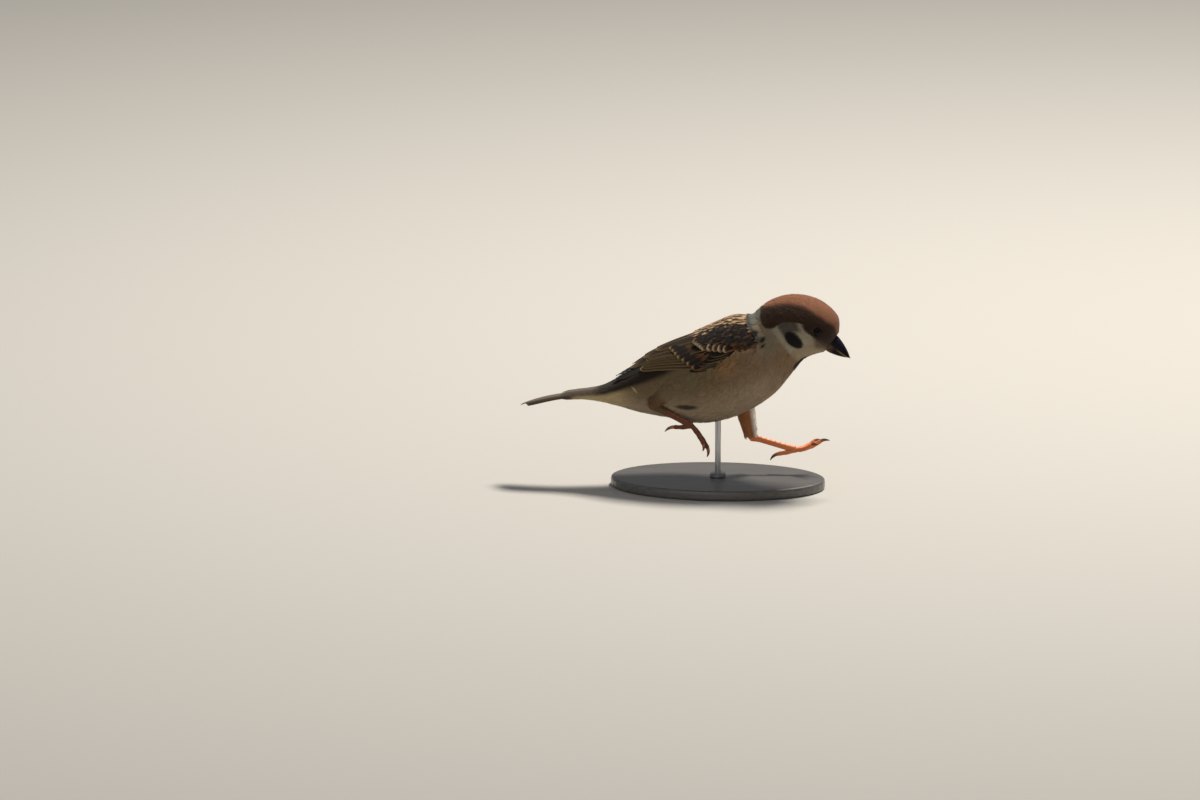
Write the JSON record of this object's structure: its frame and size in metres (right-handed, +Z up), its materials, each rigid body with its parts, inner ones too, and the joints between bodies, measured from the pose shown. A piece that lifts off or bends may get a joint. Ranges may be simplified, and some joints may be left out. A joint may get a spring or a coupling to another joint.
{
  "type": "tree sparrow model",
  "caption": "Life-size still model of a tree sparrow in mid-hop, head bent down, wings folded, held over an oval plate by a slim rod, for display.",
  "frame": {"origin": "middle of the underside of the stand's plate, under the rod", "axes": "+X the sparrow's heading, +Y its left, +Z up"},
  "size_m": [0.1338, 0.056, 0.0791],
  "materials": {
    "buff_plumage": "soft small feathers, buff white",
    "chestnut_plumage": "soft small feathers, chestnut",
    "brown_plumage": "flat vanes, dark brown with buff edges",
    "black_horn": "satin horn, blue black",
    "orange_skin": "fine horny scales, orange pink",
    "dark_eye": "wet gloss, dark brown",
    "grey_lacquer": "turned wood under satin warm grey lacquer",
    "brushed_steel": "fine brushed"
  },
  "bodies": {
    "root": {"bill_lower": "black_horn", "bill_upper": "black_horn", "claw_left_1": "black_horn", "claw_left_2": "black_horn", "claw_left_3": "black_horn", "claw_left_4": "black_horn", "claw_right_1": "black_horn", "claw_right_2": "black_horn", "claw_right_3": "black_horn", "claw_right_4": "black_horn", "eye_left": "dark_eye", "eye_right": "dark_eye", "foot_left": "orange_skin", "foot_right": "orange_skin", "head": "chestnut_plumage", "neck": "buff_plumage", "stand_base": "grey_lacquer", "stand_rod": "brushed_steel", "tail": "brown_plumage", "tarsus_left": "orange_skin", "tarsus_right": "orange_skin", "thigh_left": "buff_plumage", "thigh_right": "buff_plumage", "trunk": "buff_plumage", "wing_left": "brown_plumage", "wing_right": "brown_plumage"}
  },
  "joints": []
}
